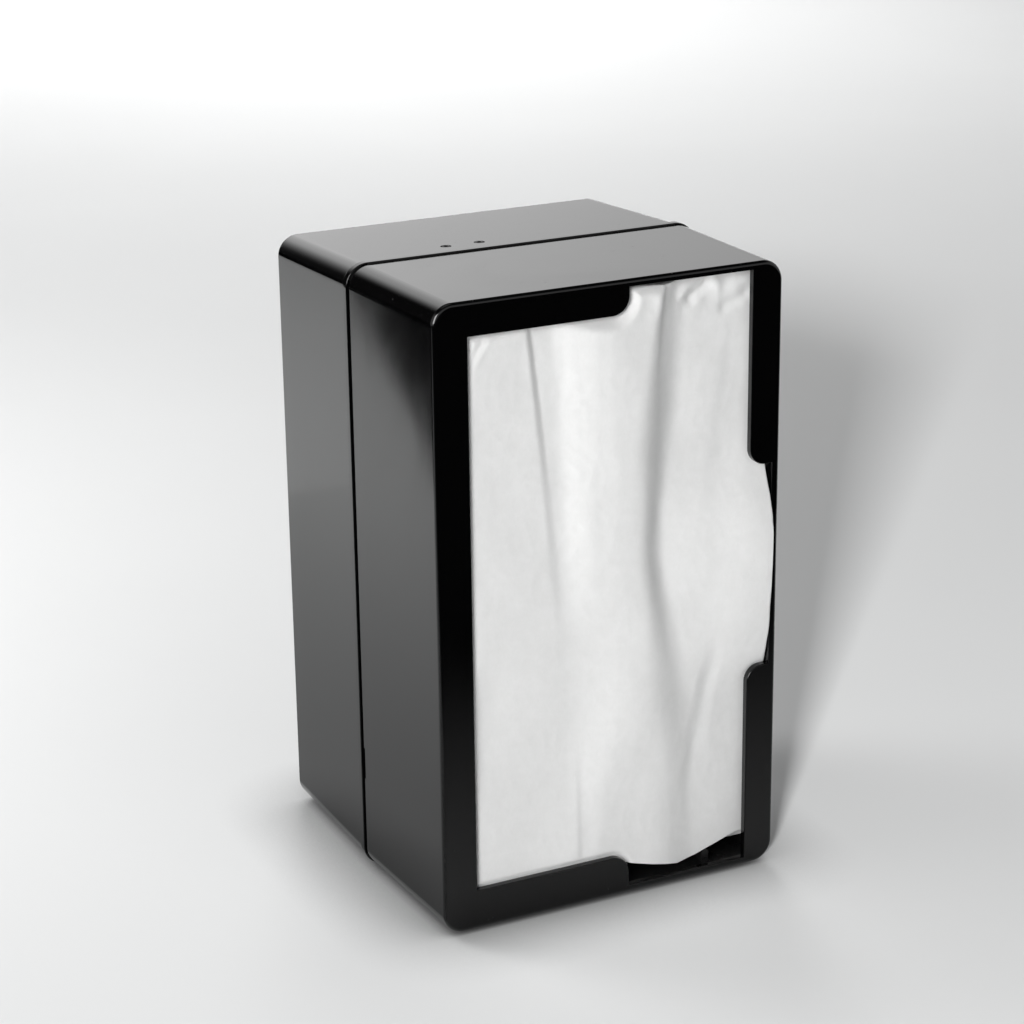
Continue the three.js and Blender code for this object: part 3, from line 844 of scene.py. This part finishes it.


# Lines are (z, x) points and widths, depths and slopes are (z, value) knots, shaped to match the
# photograph. A crease holds its line, its depth, its widths to the left and right, and where it rests.
# A corner fold is a line of (x, z) points, its height and its width. The two edges are (x, z) points.

MAIN_DROP = {
    "line": [(187, 18.0), (174, 15.8), (155, 15.3), (140, 14.7), (120, 13.4), (108, 13.0), (96, 14.8),
             (84, 16.6), (72, 18.5), (60, 19.8), (40, 23.0), (10, 24.0)],
    "slope": [(187, 0.68), (155, 0.64), (140, 0.66), (120, 0.66), (96, 0.64), (84, 0.54), (72, 0.42),
              (60, 0.30), (40, 0.17), (10, 0.12)],
    "left": [(187, 3.5), (174, 4.5), (155, 8.5), (140, 9.5), (120, 7.0), (96, 7.0), (84, 8.0), (60, 10.0),
             (10, 10.0)],
    "right": [(187, 9.0), (174, 11.0), (155, 11.0), (140, 8.0), (120, 5.0), (96, 5.5), (84, 7.5), (60, 8.0),
              (10, 8.0)],
}
CREASES = {
    "sharp top of the main drop": (
        [(187, 18.2), (172, 16.4), (158, 14.9)], [(187, 0.35), (176, 0.35), (156, 0.0)],
        [(187, 1.8), (158, 1.4)], [(187, 4.0), (158, 3.0)]),
    "lower right": (
        [(72, 35.0), (45, 29.0), (25, 26.5)], [(78, 0.0), (66, 0.5), (48, 0.5), (22, 0.0)],
        [(80, 4.0), (20, 6.0)], [(80, 3.0), (20, 7.0)]),
    "upper right": (
        [(175, 43.5), (160, 41.0), (130, 37.0), (110, 35.0)],
        [(180, 0.0), (162, 0.28), (130, 0.28), (105, 0.0)],
        [(180, 5.0), (110, 8.0)], [(180, 7.0), (110, 9.0)]),
    "long left": (
        [(187, -25.0), (177.5, -23.8), (160, -21.6), (142.5, -19.8), (122, -17.4), (97, -14.8), (80, -13.4)],
        [(187, 1.5), (165, 1.25), (142, 0.9), (115, 0.65), (97, 0.3), (86, 0.0)],
        [(187, 2.8), (142, 3.2), (97, 4.5)], [(187, 7.0), (142, 8.0), (97, 9.0)],
        [(187, 5.5), (165, 4.5), (142, 1.5), (97, 1.0)]),
    "lower left": (
        [(48, -9.6), (14, -9.6)], [(50, 0.0), (38, 0.28), (14, 0.34)],
        [(50, 2.4), (14, 2.0)], [(50, 7.0), (14, 6.0)]),
}
CORNER_FOLDS = (
    ([(24.0, 182.5), (28.0, 186.5)], 0.7, 1.5), ([(27.2, 180.8), (32.4, 184.2)], -1.1, 1.3),
    ([(34.5, 187.0), (36.0, 183.5)], 0.4, 1.4), ([(38.5, 176.8), (45.2, 179.6)], -0.7, 1.8),
    ([(41.0, 182.5), (46.5, 184.5)], 0.3, 2.0), ([(-43.6, 172.0), (-38.6, 179.5)], -0.36, 1.0),
    ([(-42.0, 171.0), (-37.0, 178.6)], 0.16, 0.9), ([(-44.6, 174.5), (-41.2, 179.7)], 0.12, 0.9),
)
BOTTOM_EDGE = [(-52, 7.3), (-4, 8.0), (3, 10.2), (6, 10.2), (14, 7.9), (23.5, 5.5), (30, 6.2), (38, 8.3),
               (45, 10.2), (53, 10.6)]
TOP_EDGE = [(-52, 185.2), (-20, 185.9), (4, 186.6), (9, 187.0), (17, 186.4), (24, 187.0), (33, 186.6),
            (45, 187.0), (53, 186.0)]


def relief(x, z):
    """How far the front panel stands forward of its plane, in millimetres."""
    h = drop(x, z, **MAIN_DROP)
    for shape in CREASES.values():
        h += crease(x, z, *shape)
    for shape in CORNER_FOLDS:
        h += fold(x, z, *shape)
    swell = smooth((x + 16.0 - (z - 150) * 0.03) / 11.0) * (1 - 0.6 * smooth((x + 2) / 14))
    h += 1.7 * swell * smooth((z - 84) / 34) * smooth((196 - z) / 14)
    h += 3.0 * smooth((x + 15.0) / 27.0) * smooth((z - 5) / 60) * (1 - 0.5 * smooth((z - 145) / 40))
    h -= 2.8 * smooth((x - 10) / 44) * smooth((92 - z) / 50)
    h += 0.7 * np.exp(-((x + 2 - (z - 50) * 0.25) / 9.0) ** 2) * smooth((95 - z) / 40)
    return h


def front_height(x, z):
    """The relief with its fine crumples and the thumb bulge, held back by the window's frame all round."""
    h = relief(x, z)
    h += 0.45 * field(x, z, 34.0, 3.1) + 0.22 * field(x, z, 15.0, 7.7)
    lively = np.exp(-((x + 11.0) / 8.0) ** 2) * smooth((z - 100) / 10) * smooth((172 - z) / 12)
    under_roof = smooth((z - 172) / 9) * smooth((x - 6) / 8)
    h += (0.04 + 0.07 * lively) * (1 - 2 * np.abs(field(x, z, 5.0, 1.3)))
    h += under_roof * 0.15 * (0.6 - 1.6 * np.abs(field(x, z * 0.7, 6.5, 5.9)))
    h += under_roof * 0.10 * field(x, z, 3.0, 9.4)
    stand, bulge = 1.5, 3.8
    thumb = 0.42 * smooth((x - 13.0) / 19.0) + 0.58 * smooth((x - 26.0) / 24.0)
    h = stand + h + bulge * thumb * smooth((z - 57.0) / 24.0) * smooth((137.0 - z) / 30.0)
    near_notch = smooth((x - 43.0) / 5.0)
    clear, slope = 0.6 - 0.4 * near_notch, 1.2 + 14.8 * near_notch
    under_frame, sharpness = 0.75, 3.0
    room = under_frame + slope * np.maximum(inside_window(x, z) - clear, 0.0)
    return -np.logaddexp(-sharpness * h, -sharpness * room) / sharpness


def front_napkin():
    """One sheet folded in three: the front panel, and two layers behind it."""
    half, last_half = 51.4, 51.1
    right_bend, left_bend = 0.45, 0.4
    middle_depth, last_depth = 0.9, 1.7
    rows = 224
    heights = np.linspace(0, 1, rows)
    bend = np.linspace(0, 1, 7)[1:-1]
    rear_panel = np.linspace(0, 1, 76)
    columns = []

    def thumb_reach(z):
        return 0.95 * smooth((z - 50.0) / 16.0) * smooth((131.0 - z) / 22.0)

    def level(x):
        bottom, top = along(x, *BOTTOM_EDGE), along(x, *TOP_EDGE)
        return bottom + (top - bottom) * heights

    def column(x_of_row, depth):
        x = np.broadcast_to(np.asarray(x_of_row, float), (rows,)).copy()
        columns.append((x, level(x), np.full(rows, depth)))

    right = half + thumb_reach(level(half))
    for t in np.linspace(0, 1, 208):
        column(-half + (right + half) * t, 0.0)
    for a in bend * math.pi:
        column(right + 0.25 * math.sin(a), right_bend * (1 - math.cos(a)))
    for t in rear_panel:
        column(right + (-half - right) * t, middle_depth)
    for a in bend * math.pi:
        column(-half - 0.35 * math.sin(a), middle_depth + left_bend * (1 - math.cos(a)))
    for t in rear_panel:
        column(-half + (half + last_half) * t, last_depth)

    x, z, depth = (np.array([c[i] for c in columns]) for i in range(3))
    y = NAPKIN_Y - front_height(x, z) + depth
    bm = bmesh.new()
    made = [[bm.verts.new(Vector(point) * MM) for point in zip(*points)] for points in zip(x, y, z)]
    for a, b in zip(made, made[1:]):
        ring_faces(bm, a, b, closed=False)
    napkin = finish_mesh(bm, "front_napkin_sheet", PAPER, sharp=180)
    solid = napkin.modifiers.new("paper", "SOLIDIFY")
    solid.thickness = 0.16 * MM
    solid.offset = 0
    bake_modifiers(napkin)
    shade(napkin, 70)
    settle(napkin, "rear", "front_napkin")


def napkin_stack():
    """Folded napkins one behind another, as one closed piece. Each layer shows as an edge on all sides."""
    rng = random.Random(11)
    low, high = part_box("napkin_stack")
    half, bottom, top, back = high.x / MM, low.z / MM, high.z / MM, high.y / MM
    thickness = back - STACK_FRONT_Y
    count = int(thickness / 0.62)
    layer = thickness / count
    wide_steps, high_steps, corner = 34, 58, 1.0
    side_x, side_z = half - corner - 0.01, (top - bottom) / 2 - corner - 0.01
    sides = (((half - corner, top), (-half + corner, top), wide_steps),
             ((-half, top - corner), (-half, bottom + corner), high_steps),
             ((-half + corner, bottom), (half - corner, bottom), wide_steps),
             ((half, bottom + corner), (half, top - corner), high_steps))
    outline = [(x0 + (x1 - x0) * i / steps, z0 + (z1 - z0) * i / steps)
               for (x0, z0), (x1, z1), steps in sides for i in range(steps + 1)]
    middle = (bottom + top) / 2
    runner_z = bottom - 0.1
    rings = []
    for n in range(count):
        deeper = n % 4 == 0
        if deeper:
            shift_x, shift_z = rng.uniform(-0.25, 0.25), rng.uniform(-0.3, 0.3)
        grow = rng.uniform(-0.12, 0.12)
        gap = 0.75 if deeper else 0.30
        for part, inset in ((0.06, gap), (0.35, 0.0), (0.75, 0.05)):
            y = STACK_FRONT_Y + layer * (n + part)
            ring = []
            for x, z in outline:
                wave = 0.22 * noise.noise(Vector((x / 17.0, z / 17.0, n * 0.9)))
                out = 0.12 + grow + wave - inset
                dx = math.copysign(out, x) if abs(x) > side_x else 0.0
                dz = math.copysign(out, z - middle) if abs(z - middle) > side_z else 0.0
                ring.append((x + dx + shift_x, y, max(z + dz + shift_z * 0.5, runner_z)))
            rings.append(ring)
    rings[0] = [(x, STACK_FRONT_Y, z) for x, _, z in rings[0]]
    rings[-1] = [(x, back, z) for x, _, z in rings[-1]]
    stack = loft("napkin_stack_edges", rings, PAPER_EDGE, sharp=70)
    settle(stack, "rear", "napkin_stack")
    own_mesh(stack)


napkin_stack()
front_napkin()

# ---------------------------------------------------------------- stage and light


def stage_mesh(name, points, faces, material):
    mesh = bpy.data.meshes.new(name)
    mesh.from_pydata(points, [], faces)
    mesh.materials.append(material)
    obj = bpy.data.objects.new(name, mesh)
    SCENE.collection.objects.link(obj)
    return obj


PALE, HORIZON = (0.985, 0.99, 1.0, 1), 0.80
FLOOR_RADIUS, FADE_FROM, FADE_TO = 5.5, 2.4, 3.6
CARD_Z = 0.0006


def floor():
    """A pale floor that fades into the background's tone far from the object. Its colour carries painted
    contact shade: ambient occlusion darkens it near the object's foot.
    """
    s = Shader("floor_paper", Roughness=0.9, Specular_IOR_Level=0.1)
    tone = s.spread(s.noise(3.0, 3.0), 0.3, 0.7)
    grain = s.bump(s.noise(900.0, 2.0), 0.01)
    paper = s.blend(tone, (0.695, 0.70, 0.70, 1), (0.715, 0.72, 0.72, 1))
    # painted contact shade: ambient occlusion darkens the paper's colour within 30 mm of the object
    painted_contact_shade = s.node("ShaderNodeAmbientOcclusion", {"Color": paper, "Distance": 0.030}, samples=8)
    s.use(Base_Color=painted_contact_shade.outputs["Color"], Normal=grain)
    away = s.node("ShaderNodeVectorMath", {0: s.place()}, operation="LENGTH").outputs["Value"]
    share = s.spread(away, FADE_FROM, FADE_TO, smooth=True)
    s.feed(s.mix(share, s.surface.outputs[0], s.emission(PALE, HORIZON)), s.output)
    rim = circle(0, 0, FLOOR_RADIUS, 96)
    stage_mesh("floor", [(x, y, 0.0) for x, y in rim], [list(range(len(rim)))], s.material)


def painted_dark_reflection_card(name, points, fade=None, least=0.0, most=1.0):
    """A black card on the floor that only reflections see, a painted dark reflection: the floor's reflection
    turns dark there while the floor stays pale to the camera. fade is an axis with a start and an end along
    it, between which the card darkens from least to most."""
    s = Shader(name)
    look = s.emission((0, 0, 0, 1), 0.0)
    if fade:
        axis, start, end = fade
        share = s.spread(s.split(s.place())[axis], start, end, least, most, True)
        look = s.mix(share, s.node("ShaderNodeBsdfTransparent").outputs[0], look)
    s.feed(look, s.output)
    card = stage_mesh(name, [(x, y, CARD_Z) for x, y in points], [list(range(len(points)))], s.material)
    for rays in ("camera", "diffuse", "shadow", "transmission", "volume_scatter"):
        setattr(card, f"visible_{rays}", False)


def painted_dark_reflection_arc(name, near, far, start, end):
    """A card between two distances and two whole headings, which run clockwise from +Y in degrees."""
    def points(radius, turns):
        return [(radius * math.sin(math.radians(a)), radius * math.cos(math.radians(a))) for a in turns]

    painted_dark_reflection_card(name, points(near, range(start, end + 1, 3)) + points(far, range(end, start - 1, -3)))


def world():
    """A pale background for the camera, a dim fill, and a studio of dark and pale zones that reflections see.
    Headings run clockwise from +Y and heights up from the horizon, in degrees."""
    made = bpy.data.worlds.new("studio")
    made.use_nodes = True
    SCENE.world = made
    w = Nodes(made.node_tree)
    w.tree.nodes.clear()
    x, y, z = w.split(w.node("ShaderNodeTexCoord").outputs["Generated"])
    heading = w.math("ARCTAN2", x, y)

    def by_heading(start, end, out_start=0.0, out_end=1.0):
        return w.spread(heading, math.radians(start), math.radians(end), out_start, out_end, True)

    def by_height(start, end, out_start, out_end):
        low, high = math.sin(math.radians(start)), math.sin(math.radians(end))
        return w.spread(z, low, high, out_start, out_end, True)

    def times(a, b):
        return w.math("MULTIPLY", a, b)

    panel = times(times(by_heading(-22, 2), by_heading(60, 80, 1.0, 0.0)), by_heading(14, 42, 1.0, 0.5))
    panel_height = times(by_height(31, 41, 1.24, 0.0), by_height(9, 13.5, 1.05, 1.30))
    sides = w.math("ADD", by_heading(-44, -35, 1.0, 0.0), by_heading(60, 80))
    sides_height = by_height(28, 48, 0.62, 0.0)
    overhead, least = by_height(62, 84, 0.0, 0.55), 0.015
    zones = w.math("ADD", times(panel, panel_height), times(sides, sides_height))
    mirrored = w.math("ADD", w.math("ADD", zones, overhead), least)

    def background(colour, strength):
        return w.node("ShaderNodeBackground", {"Color": colour, "Strength": strength}).outputs[0]

    path = w.node("ShaderNodeLightPath").outputs
    unseen = w.mix(path["Is Glossy Ray"], background(PALE, 0.06), background((1.0, 1.0, 1.0, 1), mirrored))
    seen = w.mix(path["Is Camera Ray"], unseen, background(PALE, HORIZON))
    w.feed(seen, w.node("ShaderNodeOutputWorld").inputs["Surface"])


def softbox(name, direction, distance, size, power, target=(0, 0, 0.09)):
    """A square area light that shines on target from distance metres away."""
    data = bpy.data.lights.new(name, "AREA")
    data.shape = "RECTANGLE"
    data.size = data.size_y = size
    data.energy = power
    lamp = bpy.data.objects.new(name, data)
    way = Vector(direction).normalized()
    lamp.location = Vector(target) + way * distance
    lamp.rotation_euler = way.to_track_quat("Z", "Y").to_euler()
    lamp.visible_camera = False
    SCENE.collection.objects.link(lamp)
    return lamp


def link_to_floor(lamp, state):
    """INCLUDE lights the floor alone, EXCLUDE lights all but the floor."""
    receivers = bpy.data.collections.new(f"{lamp.name}_receivers")
    receivers.objects.link(bpy.data.objects["floor"])
    receivers.collection_objects[0].light_linking.link_state = state
    lamp.light_linking.receiver_collection = receivers


def floor_softbox(*settings, **more):
    """A light for the floor alone, which no reflection shows."""
    lamp = softbox(*settings, **more)
    lamp.visible_glossy = False
    link_to_floor(lamp, "INCLUDE")


floor()
# painted shade in reflections: black cards that only glossy rays see, darkening the floor's reflection in
# front of and beside the object, and dark zones at the left and far off
painted_dark_reflection_card("painted_reflection_shade_front", [(-2.5, -4.0), (2.5, -4.0), (2.5, -0.058), (-2.5, -0.058)],
          ("Y", -0.06, -0.27), least=0.4)
painted_dark_reflection_card("painted_dark_reflection_left",
          [(-0.2585, 0.305), (-0.342, 0.548), (-0.50, 1.01), (-2.5, 1.0), (-2.5, -0.2), (-0.9, -0.1)])
painted_dark_reflection_card("painted_reflection_shade_near", [(-0.30, -0.2), (-0.059, -0.2), (-0.059, 0.35), (-0.30, 0.35)],
          ("X", -0.24, -0.06), most=0.36)
painted_dark_reflection_arc("painted_dark_reflection_far", 1.2, 5.4, -60, -3)
world()
link_to_floor(softbox("front_light", (-0.72, -0.60, 0.34), 1.8, 1.0, 30.0), "EXCLUDE")
floor_softbox("floor_light", (-0.612, -0.791, 0.327), 4.0, 0.38, 262.0)
for name, height, size, power, target in (
        ("sweep_left_light", 0.5, 0.3, 2.9, (-0.4, 0.4, 0)),
        ("sweep_rear_light", 1.2, 0.6, 5.3, (0.4, 1.2, 0)),
        ("sweep_far_light", 1.0, 0.5, 12.5, (0.65, 1.7, 0)),
        ("sweep_front_light", 0.5, 0.3, 0.7, (0.05, -0.45, 0))):
    floor_softbox(name, (0, 0, 1), height, size, power, target=target)

SCENE.view_settings.view_transform = "Standard"
SCENE.view_settings.look = "None"
